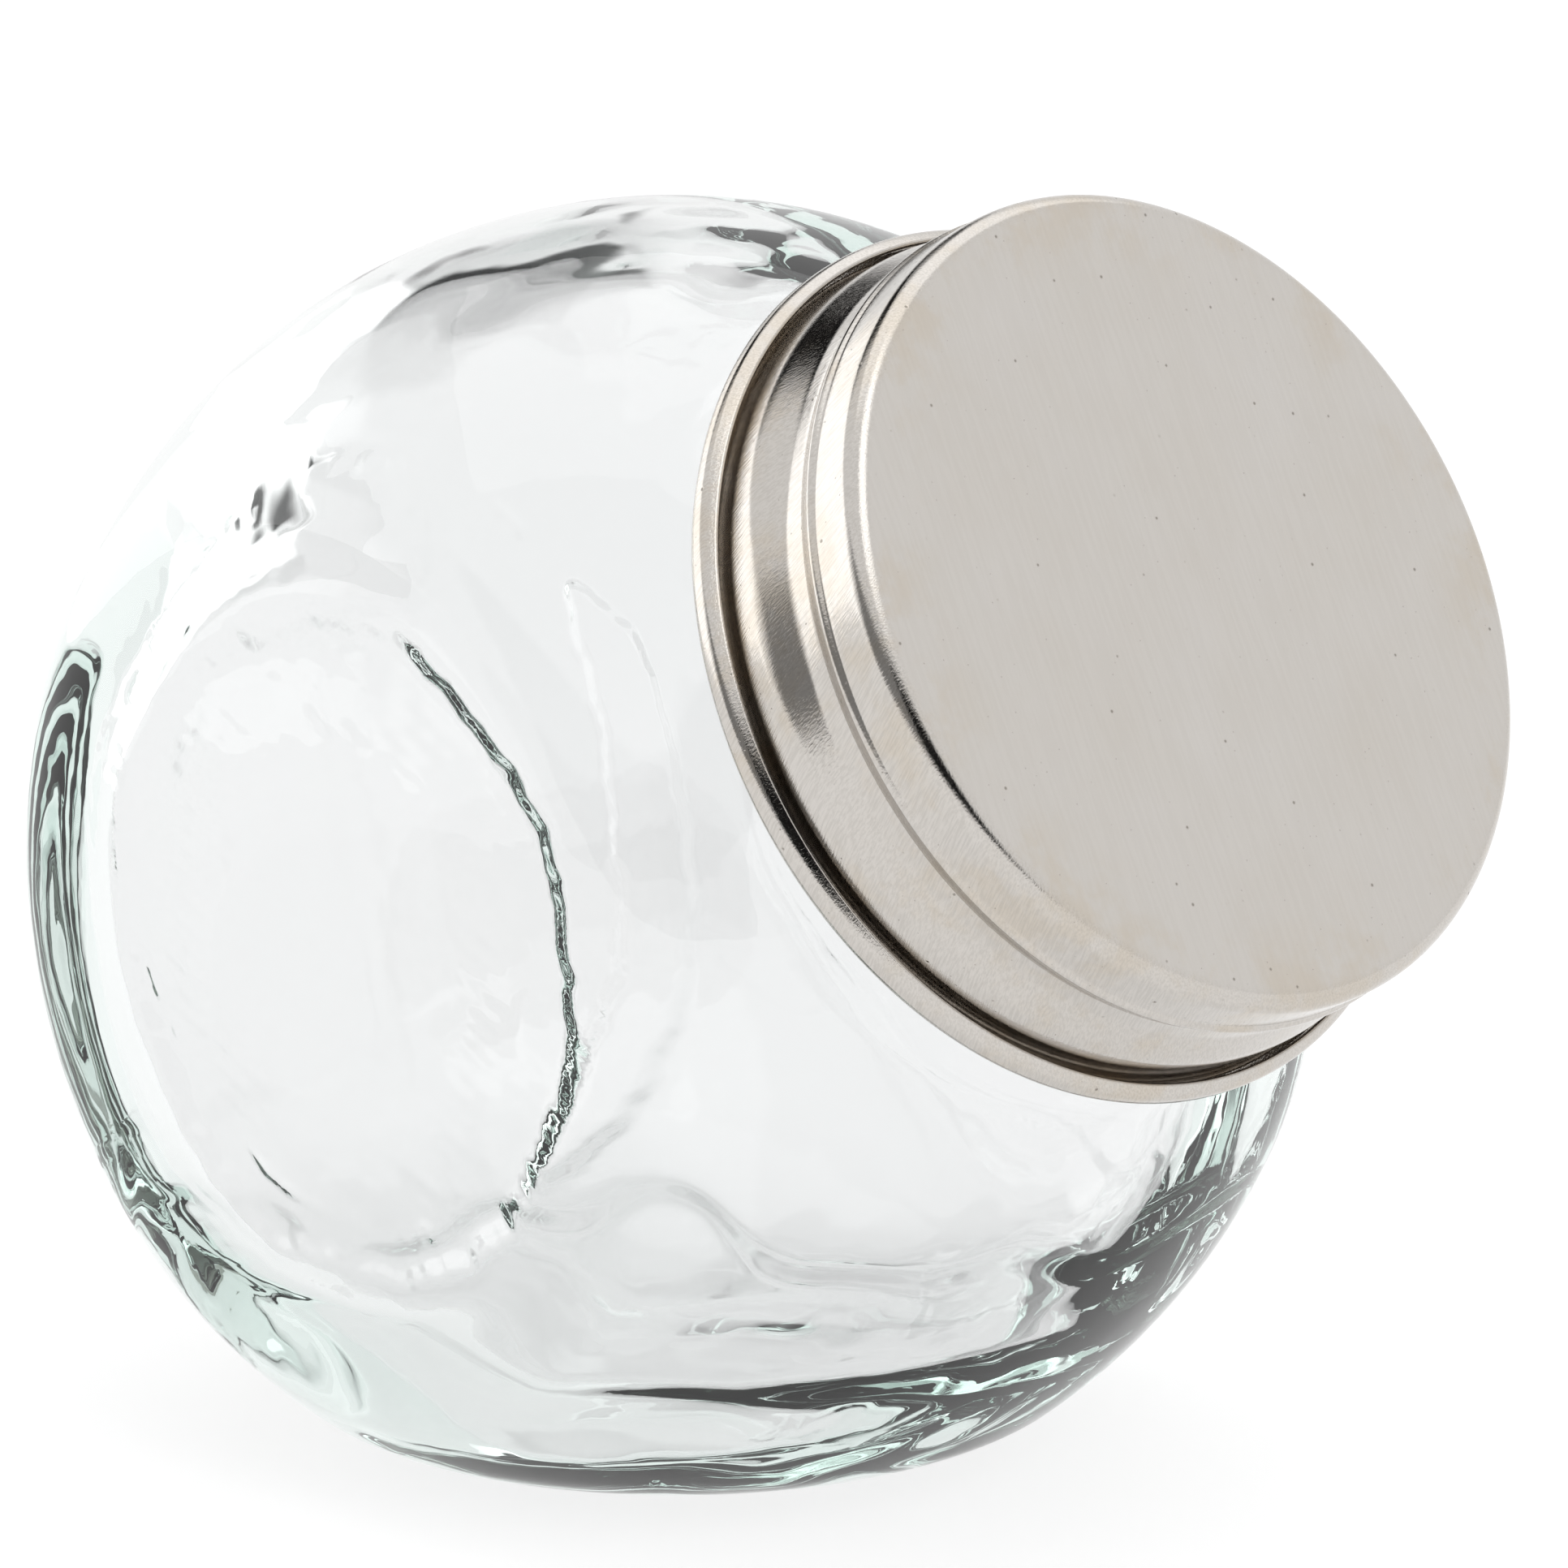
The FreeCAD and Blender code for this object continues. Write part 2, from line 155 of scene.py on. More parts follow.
def rounded_path(corners, step=0.12):
    """Points along straight runs through the corners, each (x, y, rounding), with arcs at the corners."""
    places = [np.array(corner[:2], float) for corner in corners]
    points = []
    for i, place in enumerate(places):
        rounding = corners[i][2]
        if not rounding:
            points.append(place)
            continue
        back = places[i - 1] - place
        ahead = places[i + 1] - place
        back = back / np.linalg.norm(back)
        ahead = ahead / np.linalg.norm(ahead)
        half = math.acos(max(-1.0, min(1.0, float(back @ ahead)))) / 2
        middle = place + (back + ahead) / np.linalg.norm(back + ahead) * rounding / math.sin(half)
        first = place + back * rounding / math.tan(half) - middle
        swing = math.pi - 2 * half
        if back[0] * ahead[1] - back[1] * ahead[0] > 0:
            swing = -swing
        count = max(3, math.ceil(abs(swing) * rounding / step))
        for k in range(count + 1):
            turn = swing * k / count
            c, s = math.cos(turn), math.sin(turn)
            points.append(middle + np.array([c * first[0] - s * first[1], s * first[0] + c * first[1]]))
    return np.array(points)


def resampled(points, step):
    """The same path with its long runs cut into steps."""
    out = [points[0]]
    for a, b in zip(points[:-1], points[1:]):
        length = float(np.linalg.norm(b - a))
        if length < 1e-6:
            continue
        count = max(1, math.ceil(length / step))
        out += [a + (b - a) * (k + 1) / count for k in range(count)]
    return np.array(out)


def beside(points, distance):
    """The path moved sideways, to its left for a positive distance."""
    ahead = np.gradient(points, axis=0)
    ahead /= np.linalg.norm(ahead, axis=1)[:, None]
    return points + distance * np.stack([-ahead[:, 1], ahead[:, 0]], 1)


def closed_mesh(name, rows, first_pole, last_pole):
    """A closed mesh from rings of points, row after row, between two poles. Lengths in mm."""
    count, around = rows.shape[:2]
    verts = np.concatenate([first_pole[None], rows.reshape(-1, 3), last_pole[None]]) * MM
    faces = []
    for k in range(around):
        faces.append((0, 1 + k, 1 + (k + 1) % around))
    for row in range(count - 1):
        a = 1 + row * around
        b = a + around
        for k in range(around):
            n = (k + 1) % around
            faces.append((a + k, b + k, b + n, a + n))
    last = 1 + (count - 1) * around
    for k in range(around):
        faces.append((last + (k + 1) % around, last + k, len(verts) - 1))
    mesh = bpy.data.meshes.new(name)
    mesh.from_pydata(verts.tolist(), [], faces)
    mesh.shade_smooth()
    mesh.validate()
    piece = bpy.data.objects.new(name, mesh)
    bpy.context.scene.collection.objects.link(piece)
    return piece


def smooth(amount):
    """0 below 0, 1 above 1, and smooth between."""
    held = np.clip(amount, 0, 1)
    return held * held * (3 - 2 * held)


def thread_height(thread, angle, height):
    """How far a tapered helical rib stands out at an angle round the neck and a height along it."""
    end_run = 0.35
    best = np.zeros(np.broadcast(angle, height).shape)
    for turn in range(math.ceil(thread["turns"]) + 1):
        swept = angle + 2 * math.pi * turn
        middle = thread["start"] + PITCH * swept / (2 * math.pi)
        off = np.abs(height - middle)
        slope = (thread["foot"] - thread["crest"]) / 2
        rise = smooth((thread["foot"] / 2 - off) / slope)
        from_start = swept / end_run
        from_end = (2 * math.pi * thread["turns"] - swept) / end_run
        ends = smooth(np.minimum(from_start, from_end))
        best = np.maximum(best, thread["depth"] * rise * ends)
    return best


# ---------------------------------------------------------------- the glass

def drum_distance(points, radius, crown, half_width, corner):
    """Signed distance from a crowned drum with flat sides, turned about Y."""
    out = np.hypot(points[..., 0], points[..., 2])
    side = np.abs(points[..., 1])
    middle = radius - crown
    rise = half_width - corner
    flat = middle + math.sqrt((crown - corner) ** 2 - rise**2)
    swing = math.atan2(rise, flat - middle)
    to_rim = np.hypot(out - middle, side) - (crown - corner)
    to_edge = np.hypot(out - flat, side - rise)
    to_side = side - rise
    outside = np.where(np.arctan2(side, out - middle) < swing, to_rim,
                       np.where(out > flat, to_edge, to_side))
    inside = np.maximum(to_rim, to_side)
    is_in = (to_rim < 0) & (to_side < 0)
    return np.where(is_in, inside, outside) - corner


def rounded_both(a, b, rounding):
    """Distance from what lies in both of two shapes, with a rounded edge."""
    over = np.hypot(np.maximum(a + rounding, 0), np.maximum(b + rounding, 0))
    return np.minimum(-rounding, np.maximum(a, b)) + over


def filleted_either(a, b, rounding):
    """Distance from what lies in either of two shapes, with a fillet between them."""
    under = np.hypot(np.maximum(rounding - a, 0), np.maximum(rounding - b, 0))
    return np.maximum(rounding, np.minimum(a, b)) - under


def waves(points, seed, lengths, heights):
    """A smooth random swell: sums of plane waves of a few lengths, in mm."""
    random = np.random.default_rng(seed)
    total = np.zeros(points.shape[:-1])
    for length, height in zip(lengths, heights):
        for _ in range(6):
            way = random.normal(size=3)
            way /= np.linalg.norm(way)
            phase = random.uniform(0, 2 * math.pi)
            total += height / 2.4 * np.sin(points @ way * 2 * math.pi / length + phase)
    return total


def outside_distance(points):
    """Signed distance from the outside of the glass, without the top of its neck."""
    along = neck_axes()[2]
    level = -points[..., 2] - DRUM_CENTRE
    drum = rounded_both(drum_distance(points, **DRUM), level, BASE_ROUND)
    height = points @ along
    out = np.linalg.norm(points - height[..., None] * along, axis=-1)
    neck = np.where(height > 0, out - NECK_RADIUS, 99.0)
    return filleted_either(drum, neck, SHOULDER_ROUND)


def inside_distance(points):
    """Signed distance from the hollow, without the ripples of its wall."""
    along = neck_axes()[2]
    level = -points[..., 2] - DRUM_CENTRE + FLOOR_WALL
    drum = rounded_both(drum_distance(points - [CAVITY_AHEAD, 0, 0], **CAVITY), level, FLOOR_ROUND)
    height = points @ along
    out = np.linalg.norm(points - height[..., None] * along, axis=-1)
    bore = np.where(height > 0, out - MOUTH_RADIUS, 99.0)
    return filleted_either(drum, bore, MOUTH_ROUND)


def side_ripples(points):
    """The blown wall's ripples on both flat sides: a thick disc, a faint ring and a long shallow dimple."""
    uneven = waves(points, 11, (9.0, 3.1, 1.2), (0.35, 0.16, 0.08))
    x, z = points[..., 0], points[..., 2]
    to_disc = np.hypot(x - DISC["ahead"], z + DISC["down"]) - DISC["radius"] + uneven
    disc = smooth(1 + to_disc / 9) * (1 - smooth(to_disc / 1.3 + 0.5))
    to_ring = np.hypot(x, z) - RING["radius"] + uneven
    ring = smooth(1 + to_ring / 2) * (1 - smooth(to_ring / 0.9 + 0.5))
    ring *= smooth((RING["fades_ahead"] - x) / 4)
    ahead, up = x - DIMPLE["ahead"], z - DIMPLE["up"]
    along = (np.degrees(np.arctan2(up, ahead)) - DIMPLE["middle"]) / DIMPLE["half_span"]
    half_width = DIMPLE["half_width"] * np.sqrt(np.clip(1 - along**2, 0, 1)) - 0.1
    to_dimple = np.abs(np.hypot(ahead, up) - DIMPLE["radius"]) - half_width + 0.5 * uneven
    dimple = 1 - smooth(to_dimple / 0.7 + 0.5)
    on_side = smooth((np.abs(points[..., 1]) - SIDE_BEGINS) / 3)
    return on_side * (DISC["height"] * disc + RING["height"] * ring - DIMPLE["depth"] * dimple)


def wall_ripples(points):
    """How much thicker the moulding leaves the wall of the hollow at each place."""
    along = neck_axes()[2]
    height = points[..., 2]
    swell = waves(points, 7, (46.0, 23.0, 11.0), (0.35, 0.16, 0.04))
    calm = smooth((CALM_HEIGHT - points @ along) / 8.0)
    heel_line = height + HEEL["down"] + waves(points, 5, (24.0, 9.0), (2.6, 0.7))
    heel = 1 - smooth(heel_line / 2.0 + 0.5)
    floor_chill = smooth((FLOOR_CHILL_BELOW - height) / 4) * waves(points, 19, (10.0, 5.5), (0.17, 0.06))
    crown_chill = smooth((height - CROWN_CHILL_ABOVE) / 8) * waves(points, 23, (13.0, 5.0), (0.11, 0.03))
    return calm * (swell + side_ripples(points) + HEEL["height"] * heel + floor_chill + crown_chill)


def cast(distance, ways, ripples=None):
    """The points where rays from the drum's centre leave a shape."""
    reach = np.full(ways.shape[:-1], CAST_FROM)
    for _ in range(CAST_STEPS):
        reach -= distance(ways * reach[..., None])
    if ripples is not None:
        swell = ripples(ways * reach[..., None])
        for _ in range(RIPPLE_STEPS):
            reach -= distance(ways * reach[..., None]) + swell
    return ways * reach[..., None]


def ring_points(radius, height, ways):
    """Points at a distance from the neck's axis and a height along it, in each way round it."""
    along = neck_axes()[2]
    return radius[..., None] * ways + height[..., None] * along


def make_jar():
    """The glass: rings from the hollow's pole, out over the lip and down to the drum's outer pole."""
    across, aside, along = neck_axes()
    even = np.arange(AROUND) * 2 * math.pi / AROUND
    angle = even + CROWDING / 2 * np.sin(2 * even)
    ways = np.cos(angle)[:, None] * across + np.sin(angle)[:, None] * aside

    def wall(distance, radius, count, ripples=None):
        """Rings from the foot of the neck's straight part round to the ring before the far pole."""
        lean = np.linspace(math.atan2(radius, NECK_FOOT), math.pi, count + 1)[:-1, None, None]
        return cast(distance, np.cos(lean) * along + np.sin(lean) * ways[None], ripples)

    def straight(heights, radius):
        """Rings of the neck's straight part."""
        height = np.broadcast_to(heights[:, None], (len(heights), AROUND))
        return ring_points(np.broadcast_to(radius, height.shape), height, ways[None])

    outer_wall = wall(outside_distance, NECK_RADIUS, OUTER_RINGS)
    inner_wall = wall(inside_distance, MOUTH_RADIUS, INNER_RINGS, wall_ripples)
    neck_heights = np.linspace(NECK_FOOT, LIP_HEIGHT - LIP_ROUND, NECK_RINGS)[1:]
    rib = thread_height(GLASS_THREAD, angle[None], neck_heights[:, None])
    neck = straight(neck_heights, NECK_RADIUS + rib)
    bore_heights = np.linspace(NECK_FOOT, LIP_HEIGHT - LIP_ROUND, BORE_RINGS)[1:]
    bore = straight(bore_heights, MOUTH_RADIUS)
    lip = rounded_path([
        (MOUTH_RADIUS, LIP_HEIGHT - LIP_ROUND, 0),
        (MOUTH_RADIUS, LIP_HEIGHT, LIP_ROUND),
        (NECK_RADIUS, LIP_HEIGHT, LIP_ROUND),
        (NECK_RADIUS, LIP_HEIGHT - LIP_ROUND, 0),
    ])[1:-1]
    lip_rings = lip[:, None, 0, None] * ways[None] + lip[:, None, 1, None] * along
    rows = np.concatenate([inner_wall[::-1], bore, lip_rings, neck[::-1], outer_wall])
    centre = np.array([0, 0, DRUM_CENTRE])
    inner_pole = cast(inside_distance, -along[None], wall_ripples)[0]
    outer_pole = cast(outside_distance, -along[None])[0]
    return closed_mesh("jar_glass", rows + centre, inner_pole + centre, outer_pole + centre)


# ---------------------------------------------------------------- the lid

def turned(name, path, rib=None):
    """A closed mesh from a path of (radius, height) turned about the neck's axis, from pole to pole."""
    across, aside, along = neck_axes()
    angle = np.arange(TURNED_AROUND) * 2 * math.pi / TURNED_AROUND
    ways = np.cos(angle)[:, None] * across + np.sin(angle)[:, None] * aside
    radius = np.broadcast_to(path[1:-1, 0, None], (len(path) - 2, TURNED_AROUND)).copy()
    height = np.broadcast_to(path[1:-1, 1, None], radius.shape)
    if rib is not None:
        radius -= rib(angle, radius, height)
    centre = np.array([0, 0, DRUM_CENTRE])
    rows = ring_points(radius, height, ways[None]) + centre
    return closed_mesh(name, rows, along * path[0, 1] + centre, along * path[-1, 1] + centre)


def make_lid():
    """The sheet, as one path down its outside and back up its inside, with the thread on its skirt."""
    half = SHEET / 2
    sheet = rounded_path([
        (0, LID_TOP - half, 0),
        (LID_RADIUS - half, LID_TOP - half, LID_CORNER),
        (LID_RADIUS - half, RIDGE_HEIGHT + 0.42, 0.4),
        (LID_RADIUS + RIDGE_STEP - half, RIDGE_HEIGHT + 0.1, 0.17),
        (LID_RADIUS + 0.02 - half, RIDGE_HEIGHT - 0.3, 0.35),
        (COVE_RADIUS - half, COVE_HEIGHT, 0.9),
        (COVE_RADIUS + 0.08 - half, COVE_HEIGHT - 1.25, 1.6),
        (SKIRT_RADIUS - half, FLARE_HEIGHT, 2.4),
        (SKIRT_RADIUS + 0.03 - half, CURL_BOTTOM + half, 0.42),
        (CURL_RADIUS - half, CURL_BOTTOM + half, 0.5),
        (CURL_RADIUS - half, CURL_TOP - 0.45, 0.45),
        (CURL_RADIUS - half - 0.58, CURL_TOP, 0),
    ])
    sheet = resampled(sheet, 0.25)
    outer = beside(sheet, half)
    inner = beside(sheet, -half)
    outer[0, 0] = 0
    inner[0, 0] = 0
    path = np.concatenate([outer, inner[::-1]])

    def rib(angle, radius, height):
        stands = thread_height(LID_THREAD, angle[None] - math.pi / 2, height)
        on_inside = np.zeros(len(path) - 2)
        on_inside[len(outer):] = 1
        on_skirt = (radius > 20) & (radius < SKIRT_RADIUS - 0.05)
        return stands * on_inside[:, None] * on_skirt

    return turned("lid_sheet", path, rib)


def make_liner():
    """The sealing disc, with a shallow print where the lip presses."""
    path = rounded_path([
        (0, LINER_HIGH, 0),
        (LINER_RADIUS, LINER_HIGH, 0.3),
        (LINER_RADIUS, LINER_LOW, 0.3),
        (NECK_RADIUS + 0.15, LINER_LOW, 0.2),
        (NECK_RADIUS - 0.15, LINER_LOW + LIP_PRINT, 0.2),
        (MOUTH_RADIUS + 0.7, LINER_LOW + LIP_PRINT, 0.2),
        (MOUTH_RADIUS + 0.4, LINER_LOW, 0.2),
        (0, LINER_LOW, 0),
    ])
    return turned("lid_seal", resampled(path, 0.8))


# ---------------------------------------------------------------- materials

def connect(tree, source, socket):
    """Feed a socket from another socket or with a number."""
    if isinstance(source, (int, float)):
        socket.default_value = source
    else:
        tree.links.new(source, socket)


def math_node(tree, operation, *sources):
    """A number worked out from numbers or sockets."""
    node = tree.nodes.new("ShaderNodeMath")
    node.operation = operation
    for source, socket in zip(sources, node.inputs):
        connect(tree, source, socket)
    return node.outputs["Value"]


def smooth_step(tree, source, begins, full):
    """0 below where it begins, 1 where it is full, and smooth between."""
    node = tree.nodes.new("ShaderNodeMapRange")
    node.interpolation_type = "SMOOTHSTEP"
    connect(tree, source, node.inputs["Value"])
    node.inputs["From Min"].default_value = begins
    node.inputs["From Max"].default_value = full
    return node.outputs["Result"]


def new_material(name):
    """A material with a Principled shader; returns it with its node tree and the shader."""
    material = bpy.data.materials.new(name)
    material.use_nodes = True
    tree = material.node_tree
    return material, tree, tree.nodes["Principled BSDF"]


def mix_colours(tree, factor, first, second):
    """A colour between two, by a factor."""
    node = tree.nodes.new("ShaderNodeMix")
    node.data_type = "RGBA"
    connect(tree, factor, node.inputs["Factor"])
    for socket, colour in ((node.inputs[6], first), (node.inputs[7], second)):
        if isinstance(colour, tuple):
            socket.default_value = (*colour, 1)
        else:
            tree.links.new(colour, socket)
    return node.outputs[2]


def vector_node(tree, operation, source, by):
    """A vector worked out from a source and a fixed vector or another source."""
    node = tree.nodes.new("ShaderNodeVectorMath")
    node.operation = operation
    tree.links.new(source, node.inputs[0])
    if isinstance(by, tuple):
        node.inputs[1].default_value = by
    else:
        tree.links.new(by, node.inputs[1])
    return node.outputs["Vector"]


def neck_place(tree):
    """Places in mm in the frame of the neck: Z along its axis, from the drum's centre."""
    where = tree.nodes.new("ShaderNodeTexCoord")
    turn = tree.nodes.new("ShaderNodeMapping")
    turn.vector_type = "TEXTURE"
    turn.inputs["Location"].default_value = (0, 0, DRUM_CENTRE * MM)
    turn.inputs["Rotation"].default_value = (0, math.radians(NECK_TILT), 0)
    turn.inputs["Scale"].default_value = (MM, MM, MM)
    tree.links.new(where.outputs["Object"], turn.inputs["Vector"])
    return turn.outputs["Vector"]


def noise(tree, place, scale, detail=2.0, roughness=0.5, distortion=0.0):
    """Noise about 0.5, with a scale in repeats to the millimetre."""
    node = tree.nodes.new("ShaderNodeTexNoise")
    tree.links.new(place, node.inputs["Vector"])
    node.inputs["Scale"].default_value = scale
    node.inputs["Detail"].default_value = detail
    node.inputs["Roughness"].default_value = roughness
    node.inputs["Distortion"].default_value = distortion
    return node.outputs["Fac"]


def specks(tree, place, scale, radius, share):
    """Round specks: 1 inside them. The scale is in cells to the millimetre and the radius in cells."""
    node = tree.nodes.new("ShaderNodeTexVoronoi")
    tree.links.new(place, node.inputs["Vector"])
    node.inputs["Scale"].default_value = scale
    split = tree.nodes.new("ShaderNodeSeparateColor")
    tree.links.new(node.outputs["Color"], split.inputs["Color"])
    near = smooth_step(tree, node.outputs["Distance"], radius, radius * 0.3)
    chosen = smooth_step(tree, split.outputs["Red"], 1 - share, 1.04 - share)
    return math_node(tree, "MULTIPLY", near, chosen)


def add_bump(tree, shader, height, distance):
    """Relief on a shader from a height of 0 to 1 that stands for a distance in metres."""
    node = tree.nodes.new("ShaderNodeBump")
    node.inputs["Strength"].default_value = 1.0
    node.inputs["Distance"].default_value = distance
    tree.links.new(height, node.inputs["Height"])
    tree.links.new(node.outputs["Normal"], shader.inputs["Normal"])


def weighted(tree, *pairs):
    """The sum of sources by their weights."""
    total = 0.0
    for source, weight in pairs:
        part = math_node(tree, "MULTIPLY", source, weight)
        total = part if total == 0.0 else math_node(tree, "ADD", total, part)
    return total


def glass_material():
    """Soda-lime glass: green in its depth, with the mould's faint waviness and a little handling haze."""
    material, tree, shader = new_material("clear_soda_lime_glass")
    shader.inputs["Base Color"].default_value = GLASS_TINT
    shader.inputs["Transmission Weight"].default_value = 1.0
    shader.inputs["IOR"].default_value = 1.52
    place = neck_place(tree)
    haze = smooth_step(tree, noise(tree, place, 0.09, 4.0, 0.6), 0.56, 0.74)
    tree.links.new(weighted(tree, (haze, 0.02)), shader.inputs["Roughness"])
    add_bump(tree, shader, noise(tree, place, 0.3, 1.0), 0.00003)
    absorb = tree.nodes.new("ShaderNodeVolumeAbsorption")
    absorb.inputs["Color"].default_value = GLASS_COLOUR
    absorb.inputs["Density"].default_value = GLASS_DENSITY
    tree.links.new(absorb.outputs["Volume"], tree.nodes["Material Output"].inputs["Volume"])
    return material


def steel_material():
    """Drawn and spun sheet steel: rolled grain on top, leaning hatch on the sides, specks and stains."""
    material, tree, shader = new_material("satin_sheet_steel")
    place = neck_place(tree)
    split = tree.nodes.new("ShaderNodeSeparateXYZ")
    tree.links.new(place, split.inputs["Vector"])
    height = split.outputs["Z"]
    radius = math_node(tree, "SQRT", math_node(
        tree, "ADD", math_node(tree, "MULTIPLY", split.outputs["X"], split.outputs["X"]),
        math_node(tree, "MULTIPLY", split.outputs["Y"], split.outputs["Y"])))
    on_top = math_node(tree, "MULTIPLY", smooth_step(tree, height, LID_TOP - 0.5, LID_TOP - 0.1),
                       smooth_step(tree, radius, LID_RADIUS - 0.5, LID_RADIUS - 1.2))
    on_side = math_node(tree, "SUBTRACT", 1.0, on_top)

    twist = tree.nodes.new("ShaderNodeVectorRotate")
    twist.rotation_type = "Z_AXIS"
    tree.links.new(place, twist.inputs["Vector"])
    tree.links.new(math_node(tree, "MULTIPLY", height, 0.022), twist.inputs["Angle"])
    hatch_place = vector_node(tree, "MULTIPLY", twist.outputs["Vector"], (1, 1, 0.09))
    hatch = noise(tree, hatch_place, 9.0, 3.0, 0.6, 0.2)
    grain_place = vector_node(tree, "MULTIPLY", place, (0.06, 1, 1))
    grain = noise(tree, grain_place, 3.4, 4.0, 0.65)
    cloud = noise(tree, place, 0.16, 4.0, 0.6)
    mottle = noise(tree, place, 1.1, 4.0, 0.7)
    pits = specks(tree, place, 0.75, 0.1, 0.4)
    dust = specks(tree, place, 2.1, 0.13, 0.3)

    near_edge = smooth_step(tree, radius, 16.5, 21.5)
    stained = smooth_step(tree, weighted(tree, (cloud, 0.8), (mottle, 0.2)), 0.47, 0.62)
    stain = math_node(tree, "MULTIPLY", math_node(tree, "MULTIPLY", stained, near_edge), 0.45)
    colour = mix_colours(tree, cloud, STEEL_COOL, STEEL_WARM)
    colour = mix_colours(tree, stain, colour, STEEL_STAIN)
    lined = smooth_step(tree, hatch, 0.36, 0.62)
    scored = math_node(tree, "MULTIPLY", math_node(tree, "SUBTRACT", 1.0, lined), on_side)
    colour = mix_colours(tree, math_node(tree, "MULTIPLY", scored, 0.16), colour, STEEL_DARK)
    streak = smooth_step(tree, grain, 0.62, 0.4)
    colour = mix_colours(tree, math_node(tree, "MULTIPLY", streak, 0.03), colour, STEEL_DARK)
    marks = math_node(tree, "MAXIMUM", math_node(tree, "MULTIPLY", pits, 0.75),
                      math_node(tree, "MULTIPLY", dust, 0.4))
    colour = mix_colours(tree, marks, colour, STEEL_DARK)
    tree.links.new(colour, shader.inputs["Base Color"])
    shader.inputs["Metallic"].default_value = 1.0

    rough = weighted(tree, (on_top, 0.14), (scored, 0.05), (mottle, 0.06), (cloud, 0.05), (marks, 0.2))
    tree.links.new(math_node(tree, "ADD", rough, STEEL_ROUGHNESS), shader.inputs["Roughness"])
    side_lines = math_node(tree, "MULTIPLY", hatch, on_side)
    relief = weighted(tree, (side_lines, 1.0), (grain, 0.1), (mottle, 0.5), (marks, -1.5))
    add_bump(tree, shader, relief, 0.000012)
    return material


def liner_material():
    """A pale foamed seal: fine cells, small pores and slight yellowing; the faint ring where the lip presses
    is in its shape.
    """
    material, tree, shader = new_material("white_foam_seal")
    place = neck_place(tree)
    cells = noise(tree, place, 3.0, 3.0, 0.7)
    cloud = noise(tree, place, 0.2, 3.0)
    pores = specks(tree, place, 1.6, 0.3, 0.5)
    colour = mix_colours(tree, cloud, (0.83, 0.82, 0.77), (0.76, 0.73, 0.64))
    colour = mix_colours(tree, math_node(tree, "MULTIPLY", pores, 0.4), colour, (0.55, 0.53, 0.47))
    tree.links.new(colour, shader.inputs["Base Color"])
    rough = math_node(tree, "ADD", weighted(tree, (cells, 0.25)), 0.45)
    tree.links.new(rough, shader.inputs["Roughness"])
    relief = weighted(tree, (cells, 1.0), (pores, -1.0))
    add_bump(tree, shader, relief, 0.00004)
    return material


def floor_material():
    """A light table: white, and glowing a little from below."""
    material, tree, shader = new_material("white_light_table")
    shader.inputs["Base Color"].default_value = (TABLE_WHITE, TABLE_WHITE, TABLE_WHITE, 1)
    shader.inputs["Roughness"].default_value = 0.9
    shader.inputs["Specular IOR Level"].default_value = 0.0
    shader.inputs["Emission Color"].default_value = (1, 1, 1, 1)
    shader.inputs["Emission Strength"].default_value = TABLE_GLOW
    return material


# ---------------------------------------------------------------- the studio

def make_floor():
    """A square table top just under the jar."""
    mesh = bpy.data.meshes.new("floor")
    reach = TABLE_REACH * MM
    low = -TABLE_DROP * MM
    corners = [(x * reach, y * reach, low) for x, y in ((-1, -1), (1, -1), (1, 1), (-1, 1))]
    mesh.from_pydata(corners, [], [(0, 1, 2, 3)])
    floor = bpy.data.objects.new("floor", mesh)
    bpy.context.scene.collection.objects.link(floor)
    mesh.materials.append(floor_material())


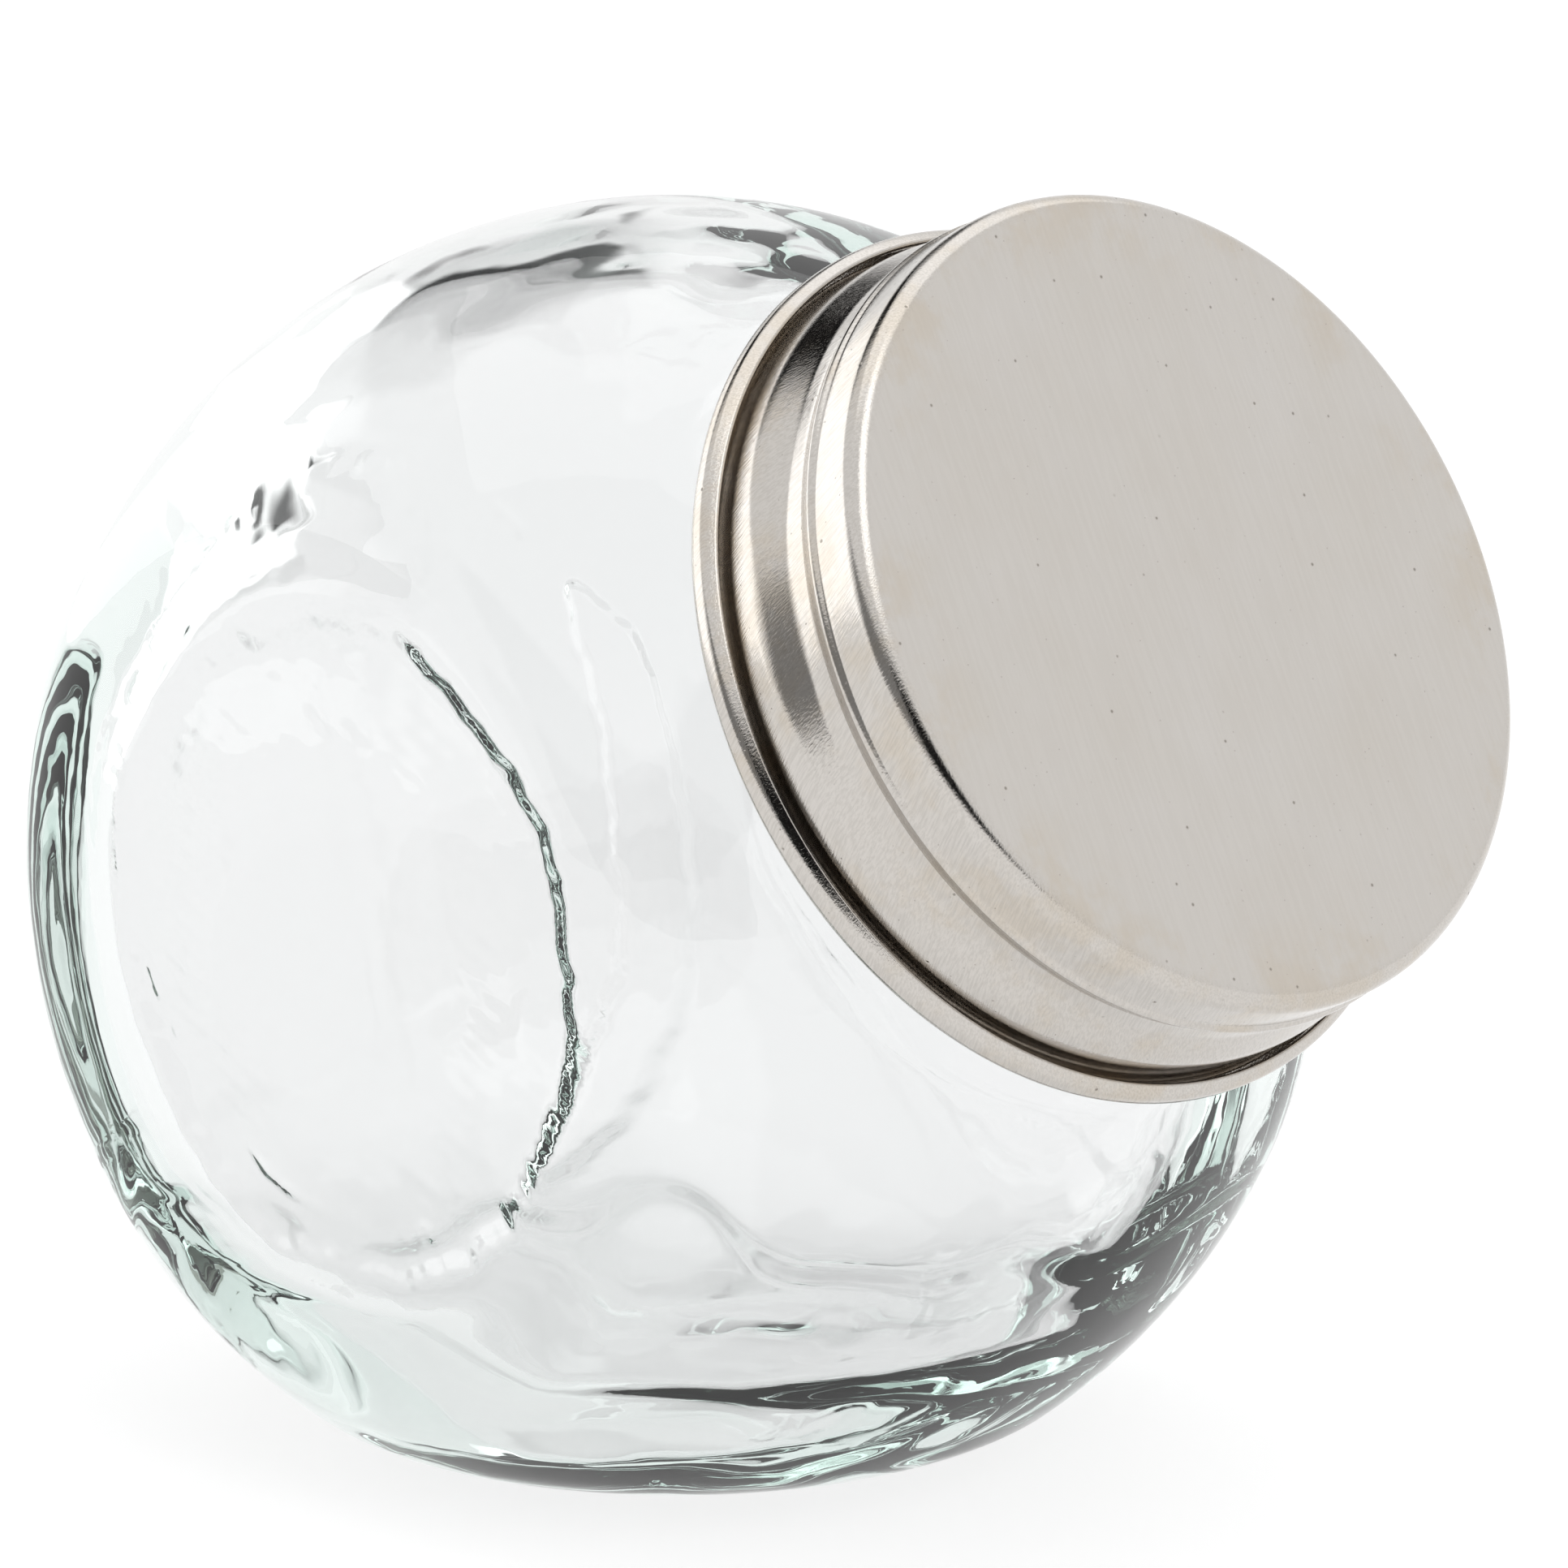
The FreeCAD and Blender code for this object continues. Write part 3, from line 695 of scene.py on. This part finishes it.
def make_world():
    """A white studio with dark gaps. Azimuth and elevation are the direction's, in degrees."""
    world = bpy.data.worlds.new("studio")
    world.use_nodes = True
    tree = world.node_tree
    where = tree.nodes.new("ShaderNodeTexCoord")
    split = tree.nodes.new("ShaderNodeSeparateXYZ")
    tree.links.new(where.outputs["Generated"], split.inputs["Vector"])
    turned_y = math_node(tree, "MULTIPLY", split.outputs["Y"], -1.0)
    azimuth = math_node(tree, "DEGREES", math_node(tree, "ARCTAN2", split.outputs["X"], turned_y))
    elevation = math_node(tree, "DEGREES", math_node(tree, "ARCSINE", split.outputs["Z"]))
    light = 1.0
    for patch in STUDIO_PATCHES:
        off = math_node(tree, "SUBTRACT", azimuth, patch["azimuth"])
        off = math_node(tree, "ABSOLUTE", math_node(tree, "WRAP", off, 180.0, -180.0))
        beside_it = smooth_step(tree, off, patch["half_width"], patch["half_width"] + patch["soft"])
        under = smooth_step(tree, elevation, patch["low"] - patch["soft"], patch["low"])
        over = smooth_step(tree, elevation, patch["high"], patch["high"] + patch["soft"])
        mask = math_node(tree, "MULTIPLY", under, math_node(tree, "SUBTRACT", 1.0, beside_it))
        mask = math_node(tree, "MULTIPLY", mask, math_node(tree, "SUBTRACT", 1.0, over))
        mix = tree.nodes.new("ShaderNodeMix")
        tree.links.new(mask, mix.inputs["Factor"])
        connect(tree, light, mix.inputs["A"])
        mix.inputs["B"].default_value = patch["light"]
        light = mix.outputs["Result"]
    connect(tree, light, tree.nodes["Background"].inputs["Strength"])
    tree.nodes["Background"].inputs["Color"].default_value = (1, 1, 1, 1)
    bpy.context.scene.world = world


def make_light(name, place, aim, size, power):
    """A rectangular area light at a place, aimed at another. Metres and watts."""
    light = bpy.data.lights.new(name, "AREA")
    light.shape = "RECTANGLE"
    light.size, light.size_y = size
    light.energy = power
    lamp = bpy.data.objects.new(name, light)
    lamp.location = place
    lamp.rotation_euler = (Vector(aim) - Vector(place)).to_track_quat("-Z", "Y").to_euler()
    bpy.context.scene.collection.objects.link(lamp)


def make_camera():
    """A long lens, a little above the jar and to its front right."""
    azimuth, elevation, roll = (math.radians(CAMERA[turn]) for turn in ("azimuth", "elevation", "roll"))
    target = Vector(CAMERA["target"]) * MM
    back = Vector((math.sin(azimuth) * math.cos(elevation), -math.cos(azimuth) * math.cos(elevation),
                   math.sin(elevation)))
    data = bpy.data.cameras.new("camera")
    data.sensor_width = 36.0
    data.lens = CAMERA["lens"]
    data.clip_start, data.clip_end = 0.01, 50.0
    camera = bpy.data.objects.new("camera", data)
    camera.location = target + back * CAMERA["distance"] * MM
    look = (-back).to_track_quat("-Z", "Y")
    camera.rotation_mode = "QUATERNION"
    camera.rotation_quaternion = look @ Matrix.Rotation(roll, 3, "Z").to_quaternion()
    bpy.context.scene.collection.objects.link(camera)
    bpy.context.scene.camera = camera


def set_view():
    """Enough bounces for light that travels far inside the glass."""
    scene = bpy.context.scene
    scene.view_settings.view_transform = "Standard"
    scene.cycles.max_bounces = 64
    scene.cycles.transmission_bounces = 64
    scene.cycles.glossy_bounces = 12


make_camera()
set_view()
make_floor()
make_world()
make_light("softbox_top", (-0.2, 0.3, 1.2), (0, 0, 0), (1.4, 1.4), 3.0)

jar = make_jar()
jar.data.materials.append(glass_material())
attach(jar, "jar")
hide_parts("jar_body")

lid = make_lid()
lid.data.materials.append(steel_material())
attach(lid, "lid")
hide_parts("lid_shell")

liner = make_liner()
liner.data.materials.append(liner_material())
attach(liner, "seal")
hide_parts("lid_liner")
